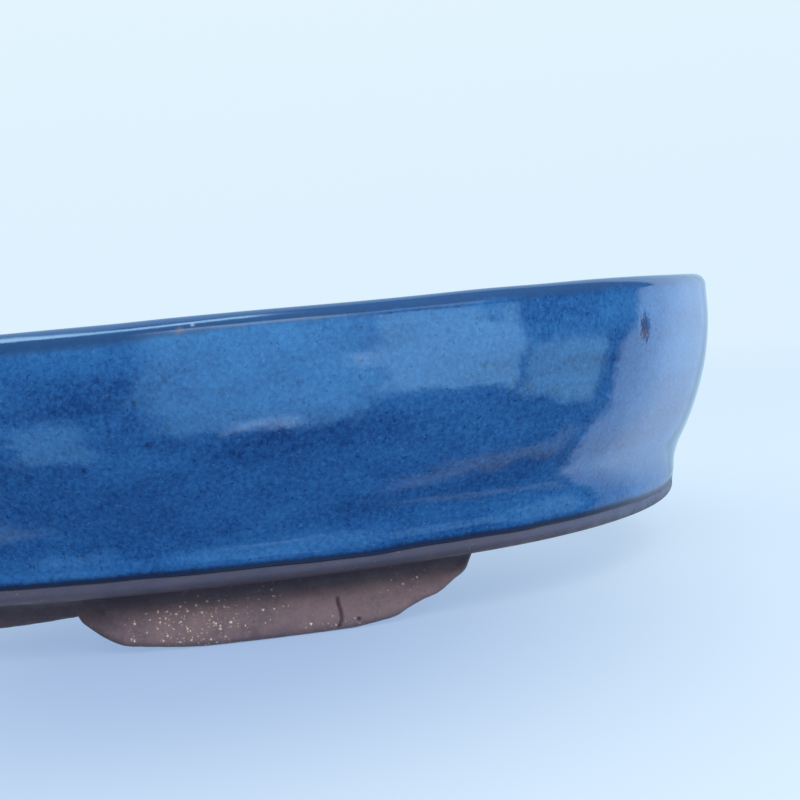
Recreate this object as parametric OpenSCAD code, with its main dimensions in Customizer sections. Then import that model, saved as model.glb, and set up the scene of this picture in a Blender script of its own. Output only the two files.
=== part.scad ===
// Low oval bonsai pot: clay wall, floor slab, rim coil, four cloud feet, two foot strips and a glaze coat.
// Long axis along X, resting on the plane z = 0, centred on the Z axis.

/* [Body] */
// Overall length along X, over the glaze
length = 366; // [250:1:500]
// Overall width along Y, over the glaze
width = 270; // [180:1:400]
// Overall height from the ground to the rim
height = 70; // [55:1:100]
// Thickness of the clay wall
wall_thickness = 6.4; // [5:0.1:10]
// Thickness of the floor slab
floor_thickness = 8; // [6:0.5:12]

/* [Wall shape] */
// How far the waist lies inside the widest outline
waist_inset = 12.4; // [6:0.1:20]
// Depth below the rim at which the straight upper wall ends
belly_depth = 7; // [5:0.5:20]
// Depth below the rim at which the belly turns into the waist
bend_depth = 42; // [25:0.5:45]
// Depth below the rim at which the waist becomes upright
waist_depth = 52.5; // [46:0.5:53]
// Radius of the bare lower edge of the wall
edge_radius = 2.4; // [1:0.1:3]

/* [Rim] */
// Height of the coil that thickens the rim
lip_height = 8.6; // [6:0.1:9]
// How far the coil stands inwards from the wall
lip_depth = 4; // [2:0.1:8]
// Outer rounding of the clay rim
rim_round = 2.4; // [1:0.1:4]
// Inner rounding of the clay rim
lip_round = 1.6; // [0.5:0.1:3]

/* [Feet] */
// Height of the wall's underside above the ground
foot_height = 12.8; // [9:0.1:13.5]
// Angle of a foot's inner end from the middle of the long side
foot_start = 19.5; // [12:0.5:24]
// Angle of a foot's outer end from the middle of the long side
foot_end = 45; // [36:0.5:45]
// Inset of the foot's neck from the widest outline
neck_inset = 19.6; // [17:0.1:24]
// How far the foot flares outwards below its neck
foot_flare = 3.6; // [1:0.1:6]
// Thickness of a foot from front to back
foot_width = 16; // [12:0.5:24]
// Height of the foot strip's lower edge above the ground, halfway along
strip_clearance = 4.8; // [4:0.1:8]
// Thickness of a foot strip
strip_width = 8; // [5:0.5:14]

/* [Drainage] */
// Radius of a drainage hole
drain_radius = 13; // [8:0.5:18]
// Distance between the two drainage holes
drain_spacing = 160; // [90:1:200]
// Radius of a tie-wire hole
wire_radius = 2.5; // [1.5:0.1:4]
// Distance between tie-wire holes along X
wire_spacing_x = 92; // [50:1:140]
// Distance between tie-wire holes along Y
wire_spacing_y = 120; // [60:1:150]

/* [Glaze] */
// Thickness of the glaze coat
glaze_thickness = 0.6; // [0.4:0.1:1]
// Height of the glaze coat's lower line above the ground
glaze_line = 16.3; // [15.5:0.1:22]

/* [Hidden] */
$fn = 96;
// The outline is four arcs. Their centres stand 20 parts along X and 21 parts along Y from the middle, so the line
// through two of them is 29 parts long, and neighbouring arcs meet on that line without a kink.
half_l = length / 2;
half_w = width / 2;
part_len = (half_l - half_w) / 12;
end_x = 20 * part_len;
side_y = 21 * part_len;
end_r = half_l - end_x;
side_r = half_w + side_y;
// Belly and waist: two arcs that are upright where they end.
bend_angle = 2 * atan(waist_inset / (waist_depth - belly_depth));
belly_r = (bend_depth - belly_depth) / sin(bend_angle);
waist_r = (waist_depth - bend_depth) / sin(bend_angle);
gt = glaze_thickness;
clay_top = height - gt;
floor_top = foot_height + floor_thickness;
lip_bottom = clay_top - lip_height;
wall_in = gt + wall_thickness;
base_in = waist_inset + gt;
floor_edge = waist_inset + wall_in;
cove = 8;
cove_top = floor_top + 9.6;
steps = 12;

// Sub-part to build on its own, or "all"

// Inset of the glazed surface from the widest outline, at height z.
function belly(z) = let (d = height - z)
    d <= belly_depth ? 0 :
    d <= bend_depth ? belly_r - sqrt(belly_r * belly_r - pow(d - belly_depth, 2)) :
    d <= waist_depth ? waist_inset - waist_r + sqrt(waist_r * waist_r - pow(waist_depth - d, 2)) :
    waist_inset;
function heights(a, b, n) = [for (i = [0:n]) a + (b - a) * i / n];
// Heights used for every face of the wall between the waist and the upright top.
bends = concat(heights(height - waist_depth, height - bend_depth, 4),
    [for (i = [1:steps - 4]) height - bend_depth + (bend_depth - belly_depth) * i / (steps - 4)]);
// Quarter round from angle a to b about [i, z].
function round_pts(i, z, r, a, b, n = 5) = [for (k = [0:n]) let (t = a + (b - a) * k / n)
    [i + r * cos(t), z + r * sin(t)]];
// Smooth bend from a to c that leaves a towards b and reaches c from b.
function curve_pts(a, b, c, n = 6) = [for (k = [0:n]) let (t = k / n)
    (1 - t) * (1 - t) * a + 2 * t * (1 - t) * b + t * t * c];
function flipped(p) = [for (k = [len(p) - 1:-1:0]) p[k]];

// Clay surface that carries the glaze, from the glaze line over the rim to the coil's lower edge.
clay_skin = concat([[base_in, glaze_line]],
    [for (z = bends) [belly(z) + gt, z]],
    round_pts(gt + rim_round, clay_top - rim_round, rim_round, 180, 90),
    round_pts(wall_in + lip_depth - lip_round, clay_top - lip_round, lip_round, 90, 0),
    [[wall_in + lip_depth, lip_bottom + 1]]);
// The same surface one glaze thickness further out.
glaze_skin = concat([[waist_inset, glaze_line]],
    [for (z = bends) [belly(z), z]],
    round_pts(gt + rim_round, clay_top - rim_round, rim_round + gt, 180, 90),
    round_pts(wall_in + lip_depth - lip_round, clay_top - lip_round, lip_round + gt, 90, 0),
    [[wall_in + lip_depth + gt, lip_bottom + 1]]);
wall_section = concat(
    round_pts(base_in + edge_radius, foot_height + edge_radius, edge_radius, 270, 180),
    [[base_in, glaze_line]],
    [for (z = bends) [belly(z) + gt, z]],
    round_pts(gt + rim_round, clay_top - rim_round, rim_round, 180, 90),
    [[wall_in, clay_top], [wall_in, lip_bottom]],
    [for (z = flipped(bends)) if (z > cove_top + 1 && z < lip_bottom) [belly(z) + wall_in, z]],
    curve_pts([belly(cove_top) + wall_in, cove_top], [floor_edge + 0.8, floor_top + 1],
        [floor_edge + cove, floor_top + 1]),
    [[floor_edge + cove, floor_top], [floor_edge, floor_top], [floor_edge, foot_height]]);
lip_section = concat([[wall_in, lip_bottom], [wall_in, clay_top]],
    round_pts(wall_in + lip_depth - lip_round, clay_top - lip_round, lip_round, 90, 0),
    round_pts(wall_in + lip_depth - 2, lip_bottom + 2, 2, 0, -90, 3));
glaze_section = concat(glaze_skin, flipped(clay_skin));

// Sections are kept to whole hundredths of a millimetre, so the arcs' runs meet exactly.
function whole(p) = [round(p[0] * 100) / 100, round(p[1] * 100) / 100];
// Plan of the sector that one arc fills, from its centre outwards.
module end_sector() {
    polygon([[end_x, 0], [3 * end_x, -2 * side_y], [3 * end_x, 2 * side_y]]);
}
module side_sector() {
    polygon([[0, side_y], [3 * end_x, -2 * side_y], [-3 * end_x, -2 * side_y]]);
}
// Turns a section, given as [inset, height], into a ring round the whole outline.
module around(section) {
    for (s = [0, 1]) rotate([0, 0, 180 * s]) {
        intersection() {
            translate([end_x, 0, 0]) rotate_extrude() polygon([for (p = section) [end_r - whole(p)[0], whole(p)[1]]]);
            translate([0, 0, -1]) linear_extrude(height + 2) end_sector();
        }
        intersection() {
            translate([0, side_y, 0]) rotate_extrude() polygon([for (p = section) [side_r - whole(p)[0], whole(p)[1]]]);
            translate([0, 0, -1]) linear_extrude(height + 2) side_sector();
        }
    }
}
// Turns a section along the front side arc only, between two angles from the middle.
module side_run(section, a, b) {
    translate([0, side_y, 0]) rotate([0, 0, a - 90])
        rotate_extrude(angle = b - a) polygon([for (p = section) [side_r - p[0], p[1]]]);
}
// Flat outline at a given inset.
module outline(i) {
    for (s = [0, 1]) rotate(180 * s) {
        intersection() {
            translate([end_x, 0]) circle(r = end_r - i, $fn = 360);
            end_sector();
        }
        intersection() {
            translate([0, side_y]) circle(r = side_r - i, $fn = 360);
            side_sector();
        }
    }
}

module wall() {
    color("SaddleBrown") around(wall_section);
}

module floor_slab() {
    color("Sienna") difference() {
        translate([0, 0, foot_height]) linear_extrude(floor_thickness) outline(floor_edge);
        for (x = [-1, 1]) {
            translate([x * drain_spacing / 2, 0, foot_height - 1])
                cylinder(r = drain_radius, h = floor_thickness + 2);
            for (y = [-1, 1]) translate([x * wire_spacing_x / 2, y * wire_spacing_y / 2, foot_height - 1])
                cylinder(r = wire_radius, h = floor_thickness + 2);
        }
    }
}

module rim_lip() {
    color("Peru") around(lip_section);
}

module glaze_coat() {
    color("RoyalBlue") around(glaze_section);
}

// Feet. A foot is a rail along the side arc, trimmed to its cloud outline seen from the front.
foot_mid = (foot_start + foot_end) / 2;
foot_half = (side_r - neck_inset) * sin((foot_end - foot_start) / 2);
// Cloud outline of the inner end: [distance from the end, share of the foot's height].
inner_end = [[0, 0.66], [0.6, 0.58], [2.6, 0.44], [4.7, 0.32], [7, 0.22], [9.5, 0.13], [13.5, 0.08], [18, 0.05],
    [22, 0.02], [26, 0]];
// Cloud outline of the outer end.
outer_end = [[0, 1], [0.8, 0.9], [1.6, 0.79], [2.7, 0.67], [5.8, 0.54], [9.7, 0.38], [14, 0.29], [17, 0.2],
    [19.5, 0.11], [23.5, 0.05], [29, 0]];
foot_outline = concat([[-foot_half, foot_height]],
    [for (p = inner_end) [p[0] - foot_half, p[1] * foot_height]],
    [for (k = [len(outer_end) - 1:-1:0]) [foot_half - outer_end[k][0], outer_end[k][1] * foot_height]]);
// Section of a foot: a hollow neck above, flaring outwards to the ground.
foot_section = concat(
    [for (k = [0:8]) let (t = k / 8) [neck_inset - foot_flare * (1 - cos(180 * t)) / 2 - 0.6 * sin(180 * t) * (t - 1),
        foot_height - (foot_height - 1.4) * t]],
    round_pts(neck_inset - foot_flare + 1.4, 1.4, 1.4, 210, 270, 2),
    [[neck_inset - foot_flare + foot_width, 0], [neck_inset - foot_flare + foot_width - 1.5, foot_height]]);

module foot() {
    intersection() {
        side_run(foot_section, foot_start - 4, foot_end + 1.5);
        translate([0, side_y, 0]) rotate([0, 0, foot_mid]) translate([0, -side_r + 70, 0]) rotate([90, 0, 0])
            linear_extrude(100) polygon(foot_outline);
    }
}

module foot_front_right() {
    color("Sienna") foot();
}

module foot_front_left() {
    color("Sienna") mirror([1, 0, 0]) foot();
}

module foot_back_right() {
    color("Sienna") mirror([0, 1, 0]) foot();
}

module foot_back_left() {
    color("Sienna") rotate([0, 0, 180]) foot();
}

// Foot strip: a low rail between the two feet of one long side. It dips a little towards the middle.
strip_half = 75;
strip_outline = concat([[-strip_half, foot_height]],
    [for (k = [0:16]) let (u = k / 8 - 1) [u * strip_half,
        strip_clearance + (0.7 * foot_height - strip_clearance) * u * u]],
    [[strip_half, foot_height]]);

module foot_strip() {
    difference() {
        intersection() {
            side_run([[neck_inset + 0.4, foot_height + 1], [neck_inset, 0], [neck_inset + strip_width, 0],
                [neck_inset + strip_width, foot_height + 1]], -foot_start - 3, foot_start + 3);
            translate([0, -half_w + 60, 0]) rotate([90, 0, 0]) linear_extrude(60) polygon(strip_outline);
        }
        for (s = [0, 1]) mirror([s, 0, 0]) translate([0, side_y, 0]) rotate([0, 0, foot_mid])
            translate([-foot_half, -side_r, -1]) cube([60, 100, foot_height + 3]);
    }
}

module front_foot_strip() {
    color("Peru") foot_strip();
}

module back_foot_strip() {
    color("Peru") rotate([0, 0, 180]) foot_strip();
}

wall();
floor_slab();
rim_lip();
glaze_coat();
foot_front_right();
foot_front_left();
foot_back_right();
foot_back_left();
front_foot_strip();
back_foot_strip();
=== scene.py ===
import bpy, bmesh, math
import numpy as np
from mathutils import Vector, Matrix
from mathutils.geometry import delaunay_2d_cdt


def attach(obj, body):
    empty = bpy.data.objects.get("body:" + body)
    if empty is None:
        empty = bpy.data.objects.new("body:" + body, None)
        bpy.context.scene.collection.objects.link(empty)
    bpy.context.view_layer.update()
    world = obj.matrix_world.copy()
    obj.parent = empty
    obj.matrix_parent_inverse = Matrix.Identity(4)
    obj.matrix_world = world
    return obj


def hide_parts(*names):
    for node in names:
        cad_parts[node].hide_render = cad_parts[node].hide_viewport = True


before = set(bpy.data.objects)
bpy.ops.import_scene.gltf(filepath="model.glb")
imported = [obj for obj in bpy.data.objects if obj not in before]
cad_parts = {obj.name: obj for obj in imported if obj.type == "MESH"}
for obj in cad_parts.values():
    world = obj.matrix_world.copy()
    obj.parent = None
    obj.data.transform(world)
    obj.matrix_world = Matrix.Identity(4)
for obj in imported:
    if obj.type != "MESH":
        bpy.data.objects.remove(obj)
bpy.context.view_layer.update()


# ------------------------------------------------------------------ helpers
def lin(r, g, b):
    """Linear colour of an sRGB triple, 0 to 255."""
    out = []
    for c in (r, g, b):
        c = c / 255.0
        out.append(c / 12.92 if c <= 0.04045 else ((c + 0.055) / 1.055) ** 2.4)
    return (out[0], out[1], out[2], 1.0)


def smooth(x, a, b):
    t = np.clip((np.asarray(x, float) - a) / (b - a), 0, 1)
    return t * t * (3 - 2 * t)


def value_noise(p, seed=0):
    """Smooth 3-D noise from -1 to 1 at points p (N x 3), one cell per unit, the same on every run."""
    p = np.asarray(p, float)
    i = np.floor(p).astype(np.int64)
    f = p - i
    f = f * f * f * (f * (f * 6 - 15) + 10)

    def h(ix, iy, iz):
        n = (ix * 374761393 + iy * 668265263 + iz * 2147483647 + seed * 1274126177) & 0xFFFFFFFF
        n = ((n ^ (n >> 13)) * 1274126177) & 0xFFFFFFFF
        n = ((n ^ (n >> 16)) * 2246822519) & 0xFFFFFFFF
        return ((n ^ (n >> 15)) & 0xFFFFFF) / 8388607.5 - 1.0

    out = np.zeros(len(p))
    for dx in (0, 1):
        for dy in (0, 1):
            for dz in (0, 1):
                w = (f[:, 0] if dx else 1 - f[:, 0]) * (f[:, 1] if dy else 1 - f[:, 1]) * (f[:, 2] if dz else 1 - f[:, 2])
                out += w * h(i[:, 0] + dx, i[:, 1] + dy, i[:, 2] + dz)
    return out


def mesh_object(name, verts_mm, faces, smooth_shade=True):
    me = bpy.data.meshes.new(name)
    me.from_pydata((np.asarray(verts_mm, float) * 0.001).tolist(), [], faces)
    me.validate()
    me.update()
    if smooth_shade:
        me.polygons.foreach_set("use_smooth", [True] * len(me.polygons))
    ob = bpy.data.objects.new(name, me)
    bpy.context.scene.collection.objects.link(ob)
    return ob


def vertex_value(ob, name, values):
    a = ob.data.attributes.new(name, "FLOAT", "POINT")
    a.data.foreach_set("value", np.asarray(values, np.float32))


# ------------------------------------------------------------------ outline and wall section (mm)
HALF_L, HALF_W = 183.0, 135.0
R_END, X_END, R_SIDE, Y_SIDE = 103.0, 80.0, 219.0, 84.0
SPLIT = math.atan2(21, 20)          # normal angle from +X at which the end arc meets the side arc
TOP, GLAZE_LINE, FOOT_H, FLOOR_TOP = 70.0, 16.3, 12.8, 20.8
COAT = 0.6


def ring_normals(n):
    """n unit normals round the outline, evenly spaced along its length, n a multiple of 4."""
    q = n // 4
    le, ls = R_END * SPLIT, R_SIDE * (math.pi / 2 - SPLIT)
    s = (np.arange(q) + 0.0) / q * (le + ls)
    a = np.where(s <= le, s / R_END, SPLIT + (s - le) / R_SIDE)
    second = math.pi - np.concatenate([[math.pi / 2], a[:0:-1]])
    t = np.concatenate([a, second, math.pi + a, math.pi + second])
    return t


def ring_xy(inset, t):
    nx, ny = np.cos(t), np.sin(t)
    side = np.abs(ny) * 20 >= np.abs(nx) * 21
    cx = np.where(side, 0.0, np.sign(nx) * X_END)
    cy = np.where(side, -np.sign(ny) * Y_SIDE, 0.0)
    r = np.where(side, R_SIDE - inset, R_END - inset)
    return cx + r * nx, cy + r * ny


BEND = 2 * math.atan(12.4 / 45.5)
R_C, R_V = 35 / math.sin(BEND), 10.5 / math.sin(BEND)


def belly(z):
    d = TOP - np.asarray(z, float)
    a = R_C - np.sqrt(np.maximum(R_C ** 2 - np.clip(d - 7, 0, 35) ** 2, 0))
    b = 12.4 - R_V + np.sqrt(np.maximum(R_V ** 2 - np.clip(52.5 - d, 0, 10.5) ** 2, 0))
    return np.where(d <= 7, 0.0, np.where(d <= 42, a, np.where(d <= 52.5, b, 12.4)))


def arc(ci, cz, r, a0, a1, n):
    """Section points (inset, z) on an arc, degrees, 0 = inwards, 90 = up."""
    a = np.radians(np.linspace(a0, a1, n))
    return np.c_[ci + r * np.cos(a), cz + r * np.sin(a)]


def bezier(p0, p1, p2, n):
    s = np.linspace(0, 1, n)[:, None]
    return (1 - s) ** 2 * np.array(p0) + 2 * s * (1 - s) * np.array(p1) + s ** 2 * np.array(p2)


def hand(x, y, z):
    """How far the hand-made wall stands out (mm) and up (mm) at a point."""
    p = np.c_[x, y, z]
    out = (0.22 * value_noise(p / 47.0, 3) + 0.10 * value_noise(p / 17.0, 4)) * smooth(z, 13, 26)
    up = (0.30 * value_noise(np.c_[x, y, 0 * z] / 52.0, 5) + 0.12 * value_noise(np.c_[x, y, 0 * z] / 21.0, 6)) * smooth(z, 45, 66)
    return out, up


def loft(section, t, closed=True, dev=None):
    """Rings of section points (inset, z) at every normal angle t. section is K x 2, or K x N x 2 where it varies round the ring."""
    n = len(t)
    sec = np.asarray(section, float)
    if sec.ndim == 2:
        sec = np.repeat(sec[:, None, :], n, axis=1)
    k = sec.shape[0]
    ins, z = sec[:, :, 0], sec[:, :, 1]
    tt = np.repeat(t[None, :], k, axis=0)
    x, y = ring_xy(ins, tt)
    out, up = hand(x.ravel(), y.ravel(), z.ravel())
    out, up = out.reshape(k, n), up.reshape(k, n)
    x, y = ring_xy(ins - out, tt)
    v = np.stack([x, y, z + up], -1).reshape(-1, 3)
    idx = np.arange(k * n).reshape(k, n)
    a = idx
    b = np.roll(idx, -1, axis=1)
    rows = range(k) if closed else range(k - 1)
    faces = []
    for j in rows:
        j2 = (j + 1) % k
        faces.append(np.stack([a[j], b[j], b[j2], a[j2]], -1))
    return v, np.concatenate(faces).tolist()


N = 640
T = ring_normals(N)
XO, YO = ring_xy(0.0, T)


def around(scale, seed, off=0.0):
    return value_noise(np.c_[XO / scale, YO / scale, np.full(N, off)], seed)


# glaze edge heights round the pot, outside and inside
edge_out = GLAZE_LINE + 0.28 * around(33, 11) + 0.14 * around(9, 12)
edge_in = 61.2 + 0.7 * around(24, 13) + 0.35 * around(8, 14) - 0.9 * smooth(around(15, 15), 0.35, 0.8)

# ------------------------------------------------------------------ wall
z_in = np.linspace(69.0, 31.0, 34)
wall_sec = np.concatenate([
    arc(15.4, 15.2, 2.4, 270, 180, 14),
    np.c_[belly(np.linspace(15.9, 67, 70)) + COAT, np.linspace(15.9, 67, 70)],
    np.array([[0.9, 67.8], [1.6, 68.8], [3.0, 69.3]]),
    np.array([[6.4, 69.2]]),
    np.c_[belly(z_in) + 7.0, z_in],
    bezier((belly(30.4) + 7.0, 30.4), (20.2, 21.8), (28.0, 20.9), 26),
    np.array([[28.2, 20.2], [28.0, 14.0], [27.4, 13.3], [24.0, 13.2], [19.5, 13.2], [19.3, 12.8]]),
])
v, f = loft(wall_sec, T)
# distance of each wall point from the centre line; not used further
r = np.hypot(v[:, 0], v[:, 1])
wall = mesh_object("wall_clay", v, f)

# ------------------------------------------------------------------ rim lip
lip_sec = np.concatenate([
    np.array([[7.2, 69.35], [9.2, 69.35]]),
    arc(9.4, 67.8, 1.55, 90, 0, 8),
    np.c_[np.full(10, 10.98), np.linspace(67.0, 63.0, 10)],
    arc(9.0, 62.8, 2.0, 0, -90, 10),
    np.array([[7.9, 60.5], [7.2, 59.6], [6.5, 59.2], [6.2, 62.0], [6.2, 66.0]]),
])
lv, lf = loft(lip_sec, T)
lip = mesh_object("rim_lip_clay", lv, lf)

# ------------------------------------------------------------------ glaze coat
K_OUT = 78
s = np.linspace(0, 1, K_OUT)
zs = np.empty((K_OUT, N))
for j, u in enumerate(s):
    # dense near the edge bead
    w = u ** 1.25
    zs[j] = edge_out * (1 - w) + 66.6 * w
th = 0.10 + (COAT - 0.10) * smooth(zs - edge_out, -0.6, 3.2) + 0.08 * np.exp(-((zs - edge_out - 2.6) / 1.3) ** 2)
outer = np.stack([belly(zs) + COAT - th, zs], -1)
rim_o = arc(3.0, 67.0, 3.0, 180, 90, 16)
rim_flat = np.array([[4.6, 70.0], [6.2, 69.98], [7.8, 69.99]])
rim_i = arc(9.4, 67.8, 2.2, 90, 0, 12)
cap = np.concatenate([rim_o[1:], rim_flat, rim_i])
cap = np.repeat(cap[:, None, :], N, axis=1)
K_IN = 12
wi = np.linspace(0, 1, K_IN)[1:]
zi = 67.5 * (1 - wi[:, None]) + edge_in[None, :] * wi[:, None]
thi = COAT * np.sqrt(np.clip(1 - (1 - np.clip((zi - edge_in) / 1.2, 0, 1)) ** 2, 0, 1))
ii = 11.0 + thi
# the lip's inner face turns under at the bottom: keep the coat on it
low = np.clip(62.8 - zi, 0, 1.9)
ii = ii - (2.0 - np.sqrt(4.0 - low ** 2))
inner = np.stack([ii, zi], -1)
back_z = np.linspace(61.5, 69.0, 6)
back = np.repeat(np.array([[10.6, 63.0], [10.4, 66.0], [9.0, 69.1], [3.2, 69.1], [1.2, 67.6], [0.75, 66.0]])[:, None, :], N, axis=1)
zb = np.linspace(0, 1, 24)
zback = 65.0 * (1 - zb[:, None]) + (edge_out[None, :] + 0.02) * zb[:, None]
backo = np.stack([belly(zback) + COAT + 0.06, zback], -1)
coat_sec = np.concatenate([outer, cap, inner, back, backo])
gv, gf = loft(coat_sec, T)
coat = mesh_object("glaze_coat_glass", gv, gf)
nk = coat_sec.shape[0]
# how full the glass is: 0 at its bare edge, rising to 1 within 3 mm above it; not used further
full = np.ones((nk, N))
full[:K_OUT] = np.clip((zs - edge_out) / 3.0, 0, 1) ** 0.8
top_z = coat_sec[:, :, 1]
vertex_value(coat, "edge", np.clip((top_z - edge_out[None, :]) / 10.0, 0, 1).ravel())
# the thin band on the rim is deepest toward the middle of the long sides
rim_at = np.abs(XO)
rim_from = np.interp(rim_at, [0, 66, 95, 124, 138, 151, 183], [65.0, 65.3, 66.0, 66.9, 67.7, 67.5, 67.4])
vertex_value(coat, "rim", smooth(top_z - rim_from[None, :] + 0.5 * around(13, 21)[None, :] + 0.25 * around(5, 22)[None, :], -0.7, 0.9).ravel())

# ------------------------------------------------------------------ feet
def share(dist, table):
    tb = np.array(table)
    return np.interp(dist, tb[:, 0], tb[:, 1])


INNER = [[0, .66], [.6, .58], [2.6, .44], [4.7, .32], [7, .22], [9.5, .13], [13.5, .08], [18, .05], [22, .02], [26, 0]]
OUTER = [[0, 1], [.8, .9], [1.6, .79], [2.7, .67], [5.8, .54], [9.7, .38], [14, .29], [17, .2], [19.5, .11], [23.5, .05], [29, 0]]
MID = math.radians(32.25)
HALF_FOOT = 44.0


def smooth_table(table, n=400):
    """A table of [distance, share] as a smooth curve by arc length."""
    tb = np.array(table, float)
    tb = np.c_[tb[:, 0], tb[:, 1] * FOOT_H]
    d = np.r_[0, np.cumsum(np.hypot(*np.diff(tb, axis=0).T))]
    # monotone Hermite through the points
    u = np.linspace(0, d[-1], n)
    out = []
    for c in (0, 1):
        y = tb[:, c]
        m = np.gradient(y, d)
        k = np.clip(np.searchsorted(d, u, side="right") - 1, 0, len(d) - 2)
        h = d[k + 1] - d[k]
        q = (u - d[k]) / h
        out.append((2 * q ** 3 - 3 * q ** 2 + 1) * y[k] + (q ** 3 - 2 * q ** 2 + q) * h * m[k] + (-2 * q ** 3 + 3 * q ** 2) * y[k + 1] + (q ** 3 - q ** 2) * h * m[k + 1])
    return np.c_[out[0], out[1]]


def foot_outline():
    """Lower outline of a foot in front elevation: points (s, z) from inner end to outer end."""
    a = smooth_table(INNER, 90)
    b = smooth_table(OUTER, 120)[::-1]
    left = np.c_[-HALF_FOOT + a[:, 0], a[:, 1]]
    right = np.c_[HALF_FOOT - b[:, 0], b[:, 1]]
    mid = np.linspace(left[-1, 0], right[0, 0], 90)[1:-1]
    return np.concatenate([left, np.c_[mid, np.zeros(len(mid))], right])


def face_inset(z):
    """Inset of a foot's front face at a height: neck under the wall, then a flare down to the ground."""
    tt = np.clip((12.8 - z) / 11.4, 0, 1.12)
    base = 19.6 - 3.6 * (1 - np.cos(np.pi * np.clip(tt, 0, 1))) / 2 + 0.6 * np.sin(np.pi * np.clip(tt, 0, 1)) * (1 - np.clip(tt, 0, 1))
    return base


def make_foot(name, sx, sy, seed, marks):
    line = foot_outline()
    seg = np.hypot(*np.diff(line, axis=0).T)
    d = np.r_[0, np.cumsum(seg)]
    m = int(d[-1] / 0.30)
    u = np.linspace(0, d[-1], m)
    line = np.c_[np.interp(u, d, line[:, 0]), np.interp(u, d, line[:, 1])]
    line[:, 0] = np.maximum.accumulate(line[:, 0] + 1e-4 * np.arange(m))
    line[:, 0] *= HALF_FOOT / line[-1, 0] if line[-1, 0] > HALF_FOOT else 1.0
    sv, zb = line[:, 0], line[:, 1]
    # blend into the wall above: highest in the middle of the foot, none at its outer end
    mid = smooth(HALF_FOOT - np.abs(sv), 3, 27)
    grow = smooth(HALF_FOOT - sv, 1, 15)
    z_top = 13.4 + 1.7 * mid
    kf = 46
    g = np.linspace(0, 1, kf)
    rows_i, rows_z = [], []
    for j in range(kf):
        z = z_top * (1 - g[j]) + zb * g[j]
        # distance of each (s, z) to the outline
        dd = np.full(m, 1e9)
        for o in range(-30, 31):
            q = np.clip(np.arange(m) + o, 0, m - 1)
            dd = np.minimum(dd, np.hypot(line[q, 0] - sv, line[q, 1] - z))
        if j == kf - 1:
            dd[:] = 0
        r = 1.5
        lean = np.clip((z - 9.8) / (z_top - 9.8), 0, 1) ** 2.2 * (5.6 + 1.03 * mid) * grow
        ins = face_inset(np.minimum(z, 12.8)) - lean
        e = np.clip(dd, 0, r)
        round_in = r - np.sqrt(np.maximum(r * r - (r - e) ** 2, 0))
        rows_i.append(ins + round_in * (1 - smooth(z, 12.0, 12.8)))
        rows_z.append(z)
    # underside and back
    bottom_in = np.full(m, 31.0)
    f_end = rows_i[-1]
    for w in np.linspace(0, 1, 14)[1:]:
        rows_i.append(f_end * (1 - w) + bottom_in * w)
        rows_z.append(zb.copy())
    last = rows_i[-1]
    for w in np.linspace(0, 1, 8)[1:]:
        rows_i.append(last - 0.6 * w)
        rows_z.append(zb * (1 - w) + np.maximum(zb, 13.6) * w)
    I, Z = np.array(rows_i), np.array(rows_z)
    # close over the top inside the wall
    wt = np.linspace(0, 1, 8)[1:-1]
    I = np.concatenate([I, [I[-1] * (1 - w) + (I[0] + 0.4) * w for w in wt]])
    Z = np.concatenate([Z, [Z[-1] * (1 - w) + (Z[0] - 0.02) * w for w in wt]])
    k = I.shape[0]
    S = np.repeat(sv[None, :], k, axis=0)
    er = np.array([math.sin(MID), -math.cos(MID)])
    et = np.array([math.cos(MID), math.sin(MID)])
    rad = np.sqrt((R_SIDE - I) ** 2 - S ** 2)
    x = S * et[0] + rad * er[0]
    y = Y_SIDE + S * et[1] + rad * er[1]
    v = np.stack([x, y, Z], -1).reshape(-1, 3)
    idx = np.arange(k * m).reshape(k, m)
    faces = []
    for j in range(k):
        j2 = (j + 1) % k
        faces += np.stack([idx[j, :-1], idx[j, 1:], idx[j2, 1:], idx[j2, :-1]], -1).tolist()
    faces.append(idx[:, 0].tolist())
    faces.append(idx[::-1, -1].tolist())
    ob = mesh_object(name + "_raw", v, faces)
    return remesh(ob, name, sx, sy, seed, marks)


def evaluated(ob):
    dg = bpy.context.evaluated_depsgraph_get()
    dg.update()
    me = bpy.data.meshes.new_from_object(ob.evaluated_get(dg))
    return me


def remesh(ob, name, sx, sy, seed, marks, voxel=0.34, rounds=6):
    m = ob.modifiers.new("v", "REMESH")
    m.mode = "VOXEL"
    m.voxel_size = voxel * 0.001
    m.adaptivity = 0
    s = ob.modifiers.new("s", "SMOOTH")
    s.factor = 0.5
    s.iterations = rounds
    me = evaluated(ob)
    old = ob.data
    bpy.data.objects.remove(ob)
    bpy.data.meshes.remove(old)
    n = len(me.vertices)
    co = np.empty(n * 3, np.float32)
    me.vertices.foreach_get("co", co)
    p = co.reshape(-1, 3).astype(float) * 1000
    no = np.empty(n * 3, np.float32)
    me.vertex_normals.foreach_get("vector", no)
    nrm = no.reshape(-1, 3).astype(float)
    # worked by hand: soft undulation and a slightly granular skin, but flat where it stands
    amp = smooth(p[:, 2], 0.0, 1.2)
    d = (0.16 * value_noise(p / 11.0, seed) + 0.09 * value_noise(p / 4.2, seed + 1)) * amp + 0.035 * value_noise(p / 1.1, seed + 2) * smooth(p[:, 2], -0.2, 0.5)
    p = p + nrm * d[:, None]
    dent = np.zeros(n)
    for fn in marks:
        p, deep = fn(p, nrm)
        dent = np.maximum(dent, deep)
    p[:, 2] = np.maximum(p[:, 2], 0.0)
    p[:, 0] *= sx
    p[:, 1] *= sy
    me.vertices.foreach_set("co", (p * 0.001).astype(np.float32).ravel())
    if sx * sy < 0:
        me.flip_normals()
    me.update()
    me.polygons.foreach_set("use_smooth", [True] * len(me.polygons))
    me.name = name
    new = bpy.data.objects.new(name, me)
    vertex_value(new, "dent", dent)
    bpy.context.scene.collection.objects.link(new)
    return new


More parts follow.
